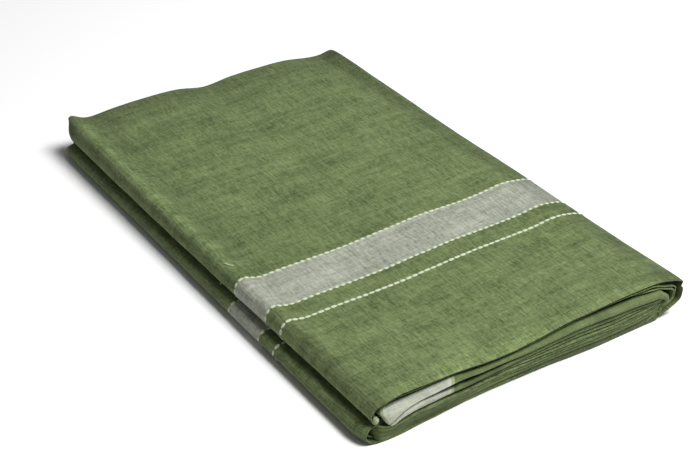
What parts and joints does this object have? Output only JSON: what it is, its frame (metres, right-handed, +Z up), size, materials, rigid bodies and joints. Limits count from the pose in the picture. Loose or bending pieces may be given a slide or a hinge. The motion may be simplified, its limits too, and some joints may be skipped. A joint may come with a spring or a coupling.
{
  "type": "folded lungi",
  "caption": "Lungi folded flat into a long pack, with a round last fold, a grooved edge opposite it and a woven border band across.",
  "frame": {"origin": "under the middle of the pack's bounding box, on the surface that it lies on", "axes": "+X from the grooved edge towards the round last fold, +Y from the end near the border band towards the plain end, +Z up"},
  "size_m": [0.2556, 0.4342, 0.0328],
  "materials": {
    "outer_wrap": "matte green slubbed cotton with a pale grey border band and cream stitch-like lines",
    "second_wrap": "matte green cotton",
    "folded_layers": "matte green cotton, seen as folded edges",
    "front_fold": "matte cotton, pale grey where the border crosses it"
  },
  "bodies": {
    "root": {"outer_wrap": "outer_wrap", "second_wrap": "second_wrap", "folded_layers": "folded_layers", "front_fold": "front_fold"}
  },
  "joints": []
}
